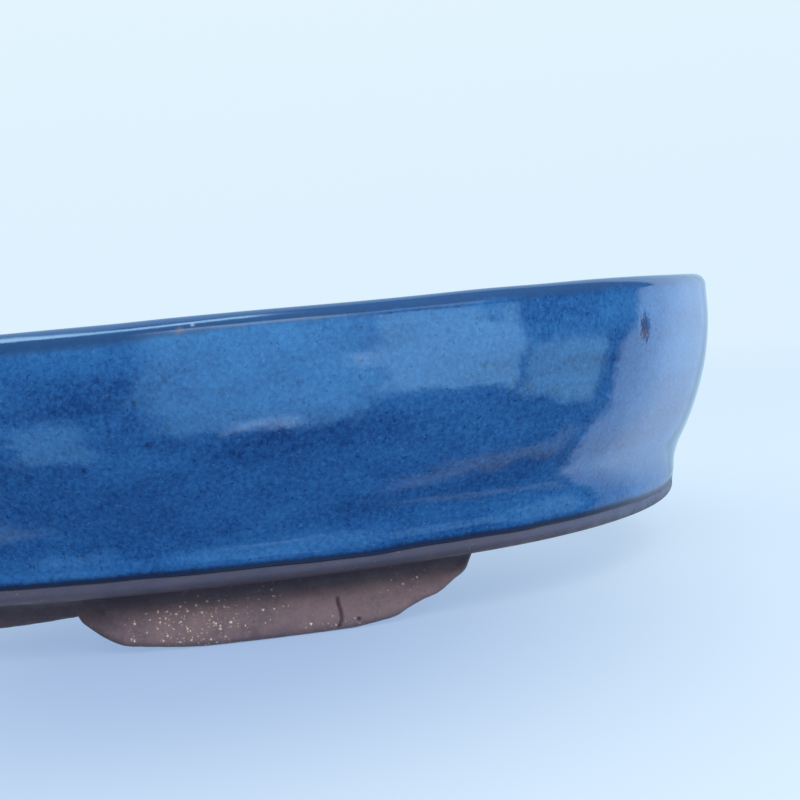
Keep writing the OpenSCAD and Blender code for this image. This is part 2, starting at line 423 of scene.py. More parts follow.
def crack(points, width, depth):
    """A crack in a face: a polyline in space, pressed in along the normal."""
    pts = np.array(points)

    def go(p, nrm):
        best = np.full(len(p), 1e9)
        q = p
        for a, b in zip(pts[:-1], pts[1:]):
            ab = b - a
            h = np.clip(((q - a) @ ab) / (ab @ ab), 0, 1)
            best = np.minimum(best, np.linalg.norm(q - a - h[:, None] * ab, axis=1))
        front = nrm[:, 1] < -0.2
        w = np.where(front, np.exp(-(best / width) ** 2), 0)
        return p - nrm * (depth * w)[:, None], w
    return go


def pit(centre, radius, depth, ridge=0.0):
    c = np.array(centre)

    def go(p, nrm):
        d = np.linalg.norm(p - c, axis=1)
        w = np.exp(-(d / radius) ** 2) * depth - ridge * np.exp(-((d - 1.6 * radius) / (0.6 * radius)) ** 2)
        return p - nrm * w[:, None], np.clip(w / depth, 0, 1)
    return go


# a firing crack and a small pit in the front right foot's face
FRONT_MARKS = [crack([(117.0, -79.4, 6.9), (117.2, -79.8, 6.2), (118.1, -80.5, 4.0), (118.3, -80.8, 2.4), (117.7, -81.4, 0.5)], 0.34, 0.8), pit((121.4, -78.7, 2.0), 0.5, 0.5, 0.22)]
feet = {}
for nm, sx, sy, sd in (("foot_front_right", 1, 1, 31), ("foot_front_left", -1, 1, 41), ("foot_back_right", 1, -1, 51), ("foot_back_left", -1, -1, 61)):
    feet[nm] = make_foot(nm + "_clay", sx, sy, sd, FRONT_MARKS if nm == "foot_front_right" else [])

# ------------------------------------------------------------------ foot strips
STRIP_HALF = 62.0


def make_strip(name, sy, seed):
    """Low clay strip under the wall between two feet, let into both."""
    m = 420
    half = math.degrees(math.asin(STRIP_HALF / (R_SIDE - 20)))
    a = np.radians(np.linspace(-half - 2.2, half + 2.2, m))
    x0 = 199.4 * np.sin(a)
    low = 4.8 + 4.16 * (x0 / 75) ** 2
    rows_i, rows_z = [], []
    r = 1.5
    for j, g in enumerate(np.linspace(0, 1, 22)):
        z = 13.4 * (1 - g) + (low + r) * g
        fil = 5.6 * np.clip((z - 9.8) / 3.6, 0, 1) ** 2.2
        rows_i.append(np.full(m, 19.6) - fil)
        rows_z.append(z)
    for ang in np.radians(np.linspace(180, 270, 8))[1:]:
        rows_i.append(np.full(m, 19.6 + r + r * math.cos(ang)))
        rows_z.append(low + r + r * math.sin(ang))
    for w in np.linspace(0, 1, 8)[1:]:
        rows_i.append(np.full(m, 21.1 + 5.3 * w))
        rows_z.append(low)
    for ang in np.radians(np.linspace(270, 360, 6))[1:]:
        rows_i.append(np.full(m, 26.4 + 1.2 * math.cos(ang)))
        rows_z.append(low + 1.2 + 1.2 * math.sin(ang))
    for w in np.linspace(0, 1, 8)[1:]:
        rows_i.append(np.full(m, 27.6))
        rows_z.append((low + 1.2) * (1 - w) + 13.6 * w)
    for w in np.linspace(0, 1, 7)[1:-1]:
        rows_i.append(rows_i[-1] * 0 + 27.6 * (1 - w) + 14.6 * w)
        rows_z.append(np.full(m, 13.6))
    I, Z = np.array(rows_i), np.array(rows_z)
    k = I.shape[0]
    A = np.repeat(a[None, :], k, axis=0)
    x = (R_SIDE - I) * np.sin(A)
    y = Y_SIDE - (R_SIDE - I) * np.cos(A)
    v = np.stack([x, y, Z], -1).reshape(-1, 3)
    idx = np.arange(k * m).reshape(k, m)
    faces = []
    for j in range(k):
        j2 = (j + 1) % k
        faces += np.stack([idx[j, :-1], idx[j, 1:], idx[j2, 1:], idx[j2, :-1]], -1).tolist()
    faces.append(idx[:, 0].tolist())
    faces.append(idx[::-1, -1].tolist())
    ob = mesh_object(name + "_raw", v, faces)
    return remesh(ob, name, 1, sy, seed, [], voxel=0.42, rounds=4)


strips = {"front_foot_strip": make_strip("front_foot_strip_clay", 1, 71), "back_foot_strip": make_strip("back_foot_strip_clay", -1, 81)}

# ------------------------------------------------------------------ floor slab
HOLES = [(80.0, 0.0, 13.0), (-80.0, 0.0, 13.0)] + [(sx * 46.0, sy * 60.0, 2.5) for sx in (-1, 1) for sy in (-1, 1)]


def make_floor():
    t = ring_normals(256)
    ox, oy = ring_xy(19.6, t)
    loops = [np.c_[ox, oy]]
    collars = []
    for cx, cy, rr in HOLES:
        soft = 1.6 if rr > 5 else 0.7
        n = 96 if rr > 5 else 32
        a = np.linspace(0, 2 * math.pi, n, endpoint=False)
        # cut by hand with a tube: not quite round
        wob = 1 + (0.008 if rr > 5 else 0.02) * value_noise(np.c_[np.cos(a) * 1.3 + cx, np.sin(a) * 1.3 + cy, a * 0], 91)
        collars.append((cx, cy, rr, soft, a, wob))
        loops.append(np.c_[cx + (rr * wob + soft) * np.cos(a), cy + (rr * wob + soft) * np.sin(a)])
    # inner points on a grid
    step = 3.4
    gx, gy = np.meshgrid(np.arange(-168, 169, step), np.arange(-120, 121, step))
    gx = gx + (np.arange(gx.shape[0]) % 2)[:, None] * step / 2
    pts = np.c_[gx.ravel(), gy.ravel()]
    pts = pts + 0.25 * np.c_[value_noise(np.c_[pts / 2.0, np.zeros(len(pts))], 92), value_noise(np.c_[pts / 2.0, np.zeros(len(pts))], 93)]

    def inside(p, inset):
        ax, ay = np.abs(p[:, 0]), np.abs(p[:, 1])
        on_side = (ay + Y_SIDE) * 20 >= ax * 21
        d_side = R_SIDE - np.hypot(ax, ay + Y_SIDE)
        d_end = R_END - np.hypot(ax - X_END, ay)
        return np.where(on_side, d_side, d_end) > inset
    keep = inside(pts, 21.4)
    for cx, cy, rr, soft, a, wob in collars:
        keep &= np.hypot(pts[:, 0] - cx, pts[:, 1] - cy) > rr + soft + 1.2
    allp = [Vector(p) for p in np.concatenate(loops + [pts[keep]]).tolist()]
    edges, faces_in, start = [], [], 0
    for lp in loops:
        n = len(lp)
        edges += [(start + i, start + (i + 1) % n) for i in range(n)]
        start += n
    vv, ee, ff, _, _, _ = delaunay_2d_cdt(allp, edges, [], 1, 1e-5)
    P = np.array([tuple(p) for p in vv])
    tri = []
    for fa in ff:
        c = P[list(fa)].mean(axis=0)
        if any(math.hypot(c[0] - cx, c[1] - cy) < rr + soft * 0.7 for cx, cy, rr, soft, a, wob in collars):
            continue
        tri.append(list(fa))
    n0 = len(P)
    und_t = 0.22 * value_noise(np.c_[P / 38.0, np.zeros(n0)], 94) + 0.08 * value_noise(np.c_[P / 9.0, np.zeros(n0)], 95)
    und_b = 0.16 * value_noise(np.c_[P / 31.0, np.ones(n0)], 96)
    calm = np.ones(n0)
    for cx, cy, rr, soft, a, wob in collars:
        calm *= smooth(np.hypot(P[:, 0] - cx, P[:, 1] - cy), rr + soft, rr + soft + 6)
    calm *= 1 - smooth(np.where(inside(P, 24.0), 0.0, 1.0), 0, 1)
    topv = np.c_[P, FLOOR_TOP + und_t * calm]
    botv = np.c_[P, FOOT_H + und_b * calm]
    verts = [topv, botv]
    faces = [list(x) if True else x for x in tri] + [[i + n0 for i in x[::-1]] for x in tri]
    base = 2 * n0
    # outer side
    n = len(loops[0])

    def nearest(q):
        return int(np.argmin(np.hypot(P[:, 0] - q[0], P[:, 1] - q[1])))
    ids = [nearest(q) for q in loops[0]]
    for i in range(n):
        a_, b_ = ids[i], ids[(i + 1) % n]
        faces.append([a_, b_, b_ + n0, a_ + n0][::-1])
    # hole collars: rounded over at both edges, with a smooth bore between
    for li, (cx, cy, rr, soft, a, wob) in enumerate(collars):
        n = len(a)
        ids = [nearest(q) for q in loops[li + 1]]
        rings = [ids]
        q = np.radians(np.linspace(90, 180, 7))[1:]
        prof = [(soft + soft * math.cos(b), FLOOR_TOP - soft + soft * math.sin(b)) for b in q]
        prof += [(0.0, z) for z in np.linspace(FLOOR_TOP - soft, FOOT_H + soft, 8)[1:-1]]
        prof += [(soft + soft * math.cos(b), FOOT_H + soft + soft * math.sin(b)) for b in np.radians(np.linspace(180, 270, 7))[:-1]]
        for off, z in prof:
            rad = rr * wob + off
            verts.append(np.c_[cx + rad * np.cos(a), cy + rad * np.sin(a), np.full(n, z)])
            rings.append(list(range(base, base + n)))
            base += n
        rings.append([i + n0 for i in ids])
        for r0, r1 in zip(rings[:-1], rings[1:]):
            for i in range(n):
                faces.append([r0[i], r0[(i + 1) % n], r1[(i + 1) % n], r1[i]])
    return mesh_object("floor_slab_clay", np.concatenate(verts), faces)


slab = make_floor()


def outward(ob):
    """Faces all point out of the solid."""
    bm = bmesh.new()
    bm.from_mesh(ob.data)
    bmesh.ops.recalc_face_normals(bm, faces=bm.faces)
    bm.to_mesh(ob.data)
    bm.free()


for ob in (wall, lip, coat, slab):
    outward(ob)


# ------------------------------------------------------------------ materials
class Nodes:
    """Short ways to add shader nodes."""

    def __init__(self, name):
        self.mat = bpy.data.materials.new(name)
        self.mat.use_nodes = True
        self.t = self.mat.node_tree
        self.t.nodes.clear()
        self.out = self.t.nodes.new("ShaderNodeOutputMaterial")
        self.bsdf = self.t.nodes.new("ShaderNodeBsdfPrincipled")
        self.t.links.new(self.bsdf.outputs[0], self.out.inputs[0])
        self.tex = self.t.nodes.new("ShaderNodeTexCoord").outputs["Object"]

    def put(self, socket, v):
        if isinstance(v, bpy.types.NodeSocket):
            self.t.links.new(v, socket)
        else:
            socket.default_value = v

    def mapped(self, scale, loc=(0, 0, 0)):
        """Object position in millimetres, each axis divided by its scale."""
        n = self.t.nodes.new("ShaderNodeMapping")
        n.inputs["Scale"].default_value = [1000.0 / s for s in scale]
        n.inputs["Location"].default_value = loc
        self.t.links.new(self.tex, n.inputs[0])
        return n.outputs[0]

    def noise(self, mm, detail=2, rough=0.5, loc=(0, 0, 0), distort=0.0):
        scale = mm if isinstance(mm, tuple) else (mm, mm, mm)
        n = self.t.nodes.new("ShaderNodeTexNoise")
        n.inputs["Scale"].default_value = 1.0
        n.inputs["Detail"].default_value = detail
        n.inputs["Roughness"].default_value = rough
        n.inputs["Distortion"].default_value = distort
        self.t.links.new(self.mapped(scale, loc), n.inputs["Vector"])
        return n.outputs[0]

    def cells(self, mm, feature="F1", loc=(0, 0, 0), randomness=1.0):
        scale = mm if isinstance(mm, tuple) else (mm, mm, mm)
        n = self.t.nodes.new("ShaderNodeTexVoronoi")
        n.feature = feature
        n.inputs["Scale"].default_value = 1.0
        n.inputs["Randomness"].default_value = randomness
        self.t.links.new(self.mapped(scale, loc), n.inputs["Vector"])
        return n

    def math(self, op, a, b=0.0, c=0.0, clamp=False):
        n = self.t.nodes.new("ShaderNodeMath")
        n.operation = op
        n.use_clamp = clamp
        self.put(n.inputs[0], a)
        self.put(n.inputs[1], b)
        if len(n.inputs) > 2:
            self.put(n.inputs[2], c)
        return n.outputs[0]

    def ramp(self, v, a, b, lo=0.0, hi=1.0, kind="SMOOTHSTEP"):
        n = self.t.nodes.new("ShaderNodeMapRange")
        n.interpolation_type = kind
        n.clamp = True
        self.put(n.inputs[0], v)
        for i, x in enumerate((a, b, lo, hi)):
            self.put(n.inputs[1 + i], x)
        return n.outputs[0]

    def mix(self, f, a, b, how="MIX"):
        n = self.t.nodes.new("ShaderNodeMix")
        n.data_type = "RGBA"
        n.blend_type = how
        n.clamp_factor = True
        self.put(n.inputs[0], f)
        self.put(n.inputs[6], a)
        self.put(n.inputs[7], b)
        return n.outputs[2]

    def value(self, name):
        n = self.t.nodes.new("ShaderNodeAttribute")
        n.attribute_name = name
        return n.outputs["Fac"]

    def xyz(self):
        n = self.t.nodes.new("ShaderNodeSeparateXYZ")
        self.t.links.new(self.tex, n.inputs[0])
        return [self.math("MULTIPLY", o, 1000.0) for o in n.outputs]

    def near(self, centre, r0, r1, warp=0.0, squash=(1, 1, 1)):
        """1 within r0 mm of a point, 0 beyond r1 mm."""
        m = self.t.nodes.new("ShaderNodeMapping")
        m.inputs["Scale"].default_value = [1000.0 / k for k in squash]
        m.inputs["Location"].default_value = [-c / k for c, k in zip(centre, squash)]
        self.t.links.new(self.tex, m.inputs[0])
        ln = self.t.nodes.new("ShaderNodeVectorMath")
        ln.operation = "LENGTH"
        self.t.links.new(m.outputs[0], ln.inputs[0])
        d = ln.outputs["Value"]
        if warp:
            d = self.math("ADD", d, self.math("MULTIPLY", self.math("SUBTRACT", self.noise(0.9, 3), 0.5), warp))
        return self.ramp(d, r0, r1, 1.0, 0.0)

    def bump(self, height, strength, mm, under=None):
        n = self.t.nodes.new("ShaderNodeBump")
        n.inputs["Strength"].default_value = strength
        n.inputs["Distance"].default_value = mm * 0.001
        self.put(n.inputs["Height"], height)
        if under is not None:
            self.t.links.new(under, n.inputs["Normal"])
        return n.outputs[0]


def glaze_material():
    m = Nodes("mottled_blue_glaze")
    deep, main, light, milky = lin(17, 52, 106), lin(38, 90, 148), lin(57, 118, 175), lin(94, 150, 198)
    x, y, z = m.xyz()
    # broad clouds, wider than high, from the way the glaze was sprayed
    cloud = m.noise((30, 30, 13), 3, 0.55, (3, 1, 2))
    band = m.noise((60, 60, 7), 2, 0.5, (9, 4, 1))
    mid = m.noise((6, 6, 4.5), 3, 0.6, (1, 5, 7))
    fine = m.noise(0.95, 3, 0.62, (2, 2, 2))
    v = m.math("ADD", m.math("MULTIPLY", cloud, 0.75), m.math("MULTIPLY", band, 0.55))
    v = m.math("ADD", v, m.math("MULTIPLY", mid, 0.42))
    v = m.math("SUBTRACT", v, 0.86)
    v = m.math("ADD", v, m.math("MULTIPLY", m.math("SUBTRACT", fine, 0.5), 1.15))
    v = m.math("ADD", v, m.math("MULTIPLY", m.math("MULTIPLY", m.ramp(z, 56, 63), m.ramp(z, 65.5, 67.5, 1.0, 0.0)), 0.12))
    # glass gathers low on the wall: brighter there
    pool = m.math("MULTIPLY", m.ramp(z, 17.0, 19.5), m.ramp(z, 21.5, 29.0, 1.0, 0.0))
    v = m.math("ADD", v, m.math("MULTIPLY", m.math("MULTIPLY", pool, m.ramp(m.math("ABSOLUTE", x), 105, 140, 1.0, 0.2)), 0.15))
    v = m.math("SUBTRACT", v, m.math("MULTIPLY", m.math("MULTIPLY", m.ramp(z, 27, 34), m.ramp(z, 38, 50, 1.0, 0.0)), 0.10))
    c = m.mix(m.ramp(v, -0.42, 0.02, kind="LINEAR"), deep, main)
    c = m.mix(m.ramp(v, 0.02, 0.55, kind="LINEAR"), c, light)
    # grain: fine light and dark flecks
    g1 = m.noise(0.62, 2, 0.6, (4, 4, 4))
    g2 = m.noise(1.5, 2, 0.5, (7, 1, 3))
    c = m.mix(m.math("MULTIPLY", m.ramp(m.math("ADD", g1, m.math("MULTIPLY", g2, 0.5)), 0.84, 1.06), 0.26), c, milky)
    c = m.mix(m.math("MULTIPLY", m.ramp(m.math("ADD", m.noise(0.7, 2, 0.6, (1, 9, 2)), m.math("MULTIPLY", m.noise(2.0, 2, 0.5, (6, 6, 1)), 0.6)), 0.66, 0.54), 0.60), c, lin(12, 30, 74))
    ir = m.math("ADD", m.noise(1.25, 2, 0.5, (2, 8, 5)), m.math("MULTIPLY", m.noise(7.0, 2, 0.5, (3, 3, 8)), 0.35))
    iron = m.ramp(ir, 0.955, 1.0)
    c = m.mix(m.math("MULTIPLY", iron, 0.7), c, lin(14, 26, 64))
    # thin glass: the brown body shows on the rim, and nearly black along the bare edge
    rim = m.math("ADD", m.value("rim"), m.math("MULTIPLY", m.math("SUBTRACT", m.noise(2.2, 3, 0.6), 0.5), 0.5), clamp=True)
    c = m.mix(m.math("MULTIPLY", rim, 0.88), c, lin(43, 75, 117))
    edge = m.math("ADD", m.value("edge"), m.math("MULTIPLY", m.math("SUBTRACT", m.noise(1.1, 3, 0.7), 0.5), 0.10))
    c = m.mix(m.ramp(edge, 0.07, 0.19, 0.93, 0.0), c, lin(24, 30, 58))
    c = m.mix(m.ramp(edge, 0.012, 0.035, 0.75, 0.0), c, lin(52, 44, 48))
    # the brown blemish near the right end, and two small flaws at the rim
    blem = m.near(BLEMISH, 1.2, 3.0, 3.0, (0.9, 0.9, 1.35))
    c = m.mix(m.math("MULTIPLY", blem, 0.75), c, lin(22, 40, 84))
    c = m.mix(m.math("MULTIPLY", m.near(BLEMISH_CORE, 0.1, 1.5, 2.6), 0.8), c, lin(98, 72, 82))
    c = m.mix(m.math("MULTIPLY", m.near(RIM_SPOT, 0.1, 1.2, 1.6), 0.7), c, lin(120, 102, 98))
    c = m.mix(m.math("MULTIPLY", m.near(RIM_SPOT_2, 0.1, 0.6, 0.8), 0.8), c, lin(150, 164, 190))
    for spot in DARK_SPOTS:
        c = m.mix(m.math("MULTIPLY", m.near(spot, 0.1, 1.0, 1.5), 0.75), c, lin(14, 24, 60))
    m.put(m.bsdf.inputs["Base Color"], c)
    # gloss: nearly mirror-like, a little softer where the glass is thin
    rough = m.math("ADD", m.ramp(m.noise(7, 3, 0.6, (5, 5, 5)), 0.3, 0.75, 0.055, 0.12), m.math("MULTIPLY", rim, 0.05))
    rough = m.math("ADD", rough, m.ramp(edge, 0.0, 0.25, 0.30, 0.0))
    m.put(m.bsdf.inputs["Roughness"], rough)
    m.bsdf.inputs["IOR"].default_value = 1.52
    # duller low on the wall and over the blemish
    dull = m.math("MULTIPLY", m.ramp(z, 19, 31, 0.32, 1.0), m.math("SUBTRACT", 1.0, m.math("MULTIPLY", blem, 0.8)))
    m.put(m.bsdf.inputs["Specular IOR Level"], m.math("MULTIPLY", dull, 0.5))
    # skin of the glass: slow ripples, orange peel and pinholes
    wave = m.bump(m.noise((16, 16, 10), 2, 0.5, (8, 8, 8)), 0.55, 0.22)
    peel = m.bump(m.noise(1.7, 3, 0.6), 0.30, 0.028, wave)
    pin = m.cells(6.5, loc=(1, 1, 9))
    pr = m.t.nodes.new("ShaderNodeSeparateColor")
    m.t.links.new(pin.outputs["Color"], pr.inputs[0])
    hole = m.math("MULTIPLY", m.ramp(pin.outputs["Distance"], 0.02, 0.06, -1.0, 0.0), m.ramp(pr.outputs[2], 0.6, 0.62))
    holes = m.bump(m.math("SUBTRACT", hole, m.math("MULTIPLY", blem, 1.5)), 0.8, 0.09, peel)
    m.put(m.bsdf.inputs["Normal"], holes)
    return m.mat


def clay_material(name, rich=1.0, inside=False):
    """Bare dark brown stoneware: mottled, with sandy grog specks, pits and drag marks."""
    m = Nodes(name)
    dark, main, warm, sand, gold = lin(75, 63, 68), lin(112, 93, 97), lin(133, 108, 107), lin(190, 164, 142), lin(224, 202, 172)
    x, y, z = m.xyz()
    v = m.math("ADD", m.math("MULTIPLY", m.noise(21, 3, 0.55, (1, 2, 3)), 0.6), m.math("MULTIPLY", m.noise(4.2, 4, 0.62, (3, 2, 1)), 0.55))
    v = m.math("ADD", v, m.math("MULTIPLY", m.noise(0.8, 3, 0.7), 0.45))
    c = m.mix(m.ramp(v, 0.48, 0.80, kind="LINEAR"), dark, main)
    c = m.mix(m.ramp(v, 0.80, 1.12, kind="LINEAR"), c, warm)
    # grog: small sandy specks, thick in some patches and rare in others, none of them round
    patch = m.math("MULTIPLY", m.ramp(m.noise(13, 2, 0.5, (5, 1, 2)), 0.50, 0.68), 0.6)
    patch = m.math("MAXIMUM", patch, m.near(GROG_PATCH, 5.0, 15.0, 6.0, (1, 1, 0.5)), clamp=True)
    heights = []
    for k, (mm, keep, tone, strong) in enumerate(((0.95, 0.30, sand, 0.85), (1.35, 0.42, gold, 0.95), (0.6, 0.40, sand, 0.7), (1.1, 0.45, gold, 0.8))):
        cell = m.cells(mm, loc=(k * 3.1 + 1, k * 1.7 + 2, k * 2.3))
        pick = m.t.nodes.new("ShaderNodeSeparateColor")
        m.t.links.new(cell.outputs["Color"], pick.inputs[0])
        ragged = m.math("ADD", cell.outputs["Distance"], m.math("MULTIPLY", m.math("SUBTRACT", m.noise(0.30, 2, 0.6, (k, 2 * k, 3)), 0.5), 0.55))
        dot = m.ramp(ragged, 0.09, 0.26, 1.0, 0.0)
        cut = m.math("SUBTRACT", 1.01, m.math("MULTIPLY", patch, 1.0 - keep))
        chance = m.ramp(pick.outputs[k % 3], cut, m.math("ADD", cut, 0.05))
        dot = m.math("MULTIPLY", dot, m.math("MULTIPLY", chance, strong * rich))
        c = m.mix(dot, c, tone)
        heights.append(dot)
    pitm = m.ramp(m.noise(1.3, 2, 0.55, (9, 3, 3)), 0.70, 0.78)
    c = m.mix(m.math("MULTIPLY", pitm, 0.45), c, lin(48, 36, 40))
    # the bare band of the wall: greyer and bluer, partly the bare clay's own tone and partly painted reflection of the
    # pale surroundings, with more painted reflection toward the ends
    band_tone_and_reflection = m.math("MULTIPLY", m.ramp(z, 12.6, 14.6), m.ramp(z, 17.0, 20.0, 1.0, 0.0))
    c = m.mix(m.math("MULTIPLY", band_tone_and_reflection, 0.80), c, m.mix(m.ramp(m.math("ABSOLUTE", x), 140, 178), lin(76, 78, 97), lin(92, 106, 134)))
    # painted shade in the neck under the wall's overhang, and all over the recessed strips between the feet
    neck_painted_shade = m.math("MULTIPLY", m.ramp(z, 6.6, 10.8), m.ramp(z, 12.0, m.ramp(m.math("ABSOLUTE", x), 70, 100, 13.6, 15.6), 1.0, 0.0))
    between = m.math("MULTIPLY", m.ramp(m.math("ABSOLUTE", x), 70, 79, 1.0, 0.0), m.ramp(z, 11.5, 13.8, 1.0, 0.0))
    c = m.mix(m.math("MULTIPLY", m.math("MAXIMUM", neck_painted_shade, m.math("MULTIPLY", between, 0.9)), 0.62), c, lin(42, 35, 47))
    # painted shade inside the crack and the pit in the front right foot
    c = m.mix(m.math("MULTIPLY", m.value("dent"), 0.8), c, lin(46, 32, 36))
    m.put(m.bsdf.inputs["Base Color"], c)
    m.put(m.bsdf.inputs["Roughness"], m.ramp(m.noise(3.4, 3, 0.6, (7, 7, 7)), 0.3, 0.7, 0.50, 0.72))
    m.bsdf.inputs["IOR"].default_value = 1.40
    m.bsdf.inputs["Specular IOR Level"].default_value = 0.35
    drag = m.noise((26, 26, 0.9), 3, 0.6, (2, 6, 4))
    b = m.bump(drag, 0.5, 0.10)
    b = m.bump(m.noise(2.6, 4, 0.65, (1, 7, 3)), 0.6, 0.16, b)
    grain = m.math("ADD", m.noise(0.55, 3, 0.7), m.math("SUBTRACT", m.math("MULTIPLY", m.math("ADD", heights[0], heights[1]), 0.6), m.math("MULTIPLY", pitm, 1.4)))
    b = m.bump(grain, 0.75, 0.075, b)
    m.put(m.bsdf.inputs["Normal"], b)
    return m.mat


BLEMISH = (177.6, -33.5, 58.3)
BLEMISH_CORE = (177.2, -33.2, 57.0)
RIM_SPOT = (103.6, -108.6, 67.2)
RIM_SPOT_2 = (106.0, -107.3, 68.2)
DARK_SPOTS = [(82.0, -115.5, 41.0), (70.5, -120.0, 44.0), (95.0, -111.0, 45.0), (94.0, -113.0, 54.0), (153.0, -72.0, 54.0)]
GROG_PATCH = (92.0, -95.5, 5.0)

glaze = glaze_material()
clay = clay_material("brown_stoneware")
for ob in (wall, lip, slab, *feet.values(), *strips.values()):
    ob.data.materials.clear()
    ob.data.materials.append(clay)
coat.data.materials.append(glaze)

# ------------------------------------------------------------------ who stands for what
for ob, node in ((wall, "wall"), (lip, "rim_lip"), (slab, "floor_slab"), (coat, "glaze_coat"), *((o, n) for n, o in feet.items()), *((o, n) for n, o in strips.items())):
    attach(ob, "root")
    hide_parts(node)

# ------------------------------------------------------------------ floor, world, lights, camera
def stage_floor():
    n, rings = 96, [0.0, 0.05, 0.1, 0.2, 0.35, 0.6, 1.0, 1.8, 3.0, 6.0]
    bm = bmesh.new()
    prev = None
    for r_ in rings:
        cur = [bm.verts.new((r_ * math.cos(2 * math.pi * i / n), r_ * math.sin(2 * math.pi * i / n), 0.0)) for i in range(n)] if r_ else [bm.verts.new((0, 0, 0))]
        if prev is not None:
            for i in range(n):
                j = (i + 1) % n
                if len(prev) == 1:
                    bm.faces.new((prev[0], cur[i], cur[j]))
                else:
                    bm.faces.new((prev[i], cur[i], cur[j], prev[j]))
        prev = cur
    me = bpy.data.meshes.new("studio_floor")
    bm.to_mesh(me)
    bm.free()
    ob = bpy.data.objects.new("studio_floor", me)
    bpy.context.scene.collection.objects.link(ob)
    mat = bpy.data.materials.new("pale_floor")
    mat.use_nodes = True
    t = mat.node_tree
    t.nodes.clear()
    out = t.nodes.new("ShaderNodeOutputMaterial")
    dif = t.nodes.new("ShaderNodeBsdfDiffuse")
    dif.inputs[0].default_value = FLOOR_DIFFUSE
    em = t.nodes.new("ShaderNodeEmission")
    em.inputs[0].default_value = FAR
    em.inputs[1].default_value = 1.0
    near_em = t.nodes.new("ShaderNodeEmission")
    near_em.inputs[0].default_value = NEAR
    near_em.inputs[1].default_value = FLOOR_GLOW
    add = t.nodes.new("ShaderNodeAddShader")
    t.links.new(dif.outputs[0], add.inputs[0])
    t.links.new(near_em.outputs[0], add.inputs[1])
    geo = t.nodes.new("ShaderNodeNewGeometry")
    ln = t.nodes.new("ShaderNodeVectorMath")
    ln.operation = "LENGTH"
    t.links.new(geo.outputs["Position"], ln.inputs[0])
    # a broad soft shade on the floor round the front of the pot
    far_off = t.nodes.new("ShaderNodeVectorMath")
    far_off.operation = "DISTANCE"
    far_off.inputs[1].default_value = (0.100, -0.110, 0.0)
    t.links.new(geo.outputs["Position"], far_off.inputs[0])
    away = t.nodes.new("ShaderNodeMapRange")
    away.interpolation_type = "SMOOTHSTEP"
    away.inputs[1].default_value = 0.015
    away.inputs[2].default_value = 0.145
    t.links.new(far_off.outputs["Value"], away.inputs[0])
    for socket, full in ((dif.inputs[0], FLOOR_DIFFUSE), (near_em.inputs[0], NEAR)):
        shade = t.nodes.new("ShaderNodeMix")
        shade.data_type = "RGBA"
        shade.inputs[6].default_value = [a_ * b_ for a_, b_ in zip(full, (0.62, 0.67, 0.80, 1.0))]
        shade.inputs[7].default_value = full
        t.links.new(away.outputs[0], shade.inputs[0])
        t.links.new(shade.outputs[2], socket)
    mr = t.nodes.new("ShaderNodeMapRange")
    mr.interpolation_type = "SMOOTHSTEP"
    mr.inputs[1].default_value = 0.30
    mr.inputs[2].default_value = 1.5
    t.links.new(ln.outputs["Value"], mr.inputs[0])
    mx = t.nodes.new("ShaderNodeMixShader")
    t.links.new(mr.outputs[0], mx.inputs[0])
    t.links.new(add.outputs[0], mx.inputs[1])
    t.links.new(em.outputs[0], mx.inputs[2])
    t.links.new(mx.outputs[0], out.inputs[0])
    me.materials.append(mat)
    ob.visible_glossy = False
    return ob


FAR = lin(222, 241, 254)
NEAR = lin(196, 222, 250)
FLOOR_DIFFUSE = (0.17, 0.17, 0.145, 1.0)
FLOOR_GLOW = 0.82
DOME = 1.0
floor = stage_floor()

scene = bpy.context.scene
scene.view_settings.view_transform = "Standard"
scene.view_settings.look = "None"
scene.view_settings.exposure = 0.0
scene.view_settings.gamma = 1.0

world = bpy.data.worlds.new("studio")
scene.world = world
world.use_nodes = True
wt = world.node_tree
wt.nodes.clear()


def wn(kind, **kw):
    n = wt.nodes.new(kind)
    for k_, v_ in kw.items():
        setattr(n, k_, v_)
    return n


def wput(sock, v_):
    if isinstance(v_, bpy.types.NodeSocket):
        wt.links.new(v_, sock)
    else:
        sock.default_value = v_


def wmath(op, a, b=0.0):
    n = wn("ShaderNodeMath", operation=op)
    wput(n.inputs[0], a)
    wput(n.inputs[1], b)
    return n.outputs[0]


def wramp(v_, a, b, lo=0.0, hi=1.0):
    n = wn("ShaderNodeMapRange", interpolation_type="SMOOTHSTEP")
    wput(n.inputs[0], v_)
    for i_, x_ in enumerate((a, b, lo, hi)):
        wput(n.inputs[1 + i_], x_)
    return n.outputs[0]


def wmix(f_, a, b):
    n = wn("ShaderNodeMix", data_type="RGBA", blend_type="MIX")
    wput(n.inputs[0], f_)
    wput(n.inputs[6], a)
    wput(n.inputs[7], b)
    return n.outputs[2]


tc = wn("ShaderNodeTexCoord").outputs["Generated"]
sx_ = wn("ShaderNodeSeparateXYZ")
wt.links.new(tc, sx_.inputs[0])
wx, wy, wz = sx_.outputs
az = wmath("MULTIPLY", wmath("ARCTAN2", wx, wy), 180 / math.pi)       # from +Y towards +X
el = wmath("MULTIPLY", wmath("ARCSINE", wz), 180 / math.pi)
wob = wn("ShaderNodeTexNoise")
wob.inputs["Scale"].default_value = 5.0
wob.inputs["Detail"].default_value = 3.0
wt.links.new(tc, wob.inputs["Vector"])
shake = wmath("MULTIPLY", wmath("SUBTRACT", wob.outputs[0], 0.5), 12.0)
ragged = wn("ShaderNodeTexNoise")
ragged.inputs["Scale"].default_value = 21.0
ragged.inputs["Detail"].default_value = 4.0
ragged.inputs["Roughness"].default_value = 0.62
wt.links.new(tc, ragged.inputs["Vector"])
fray = wmath("MULTIPLY", wmath("SUBTRACT", ragged.outputs[0], 0.5), 9.0)
azw = wmath("ADD", az, wmath("ADD", shake, fray))
elw = wmath("ADD", el, wmath("SUBTRACT", shake, wmath("MULTIPLY", fray, 0.7)))


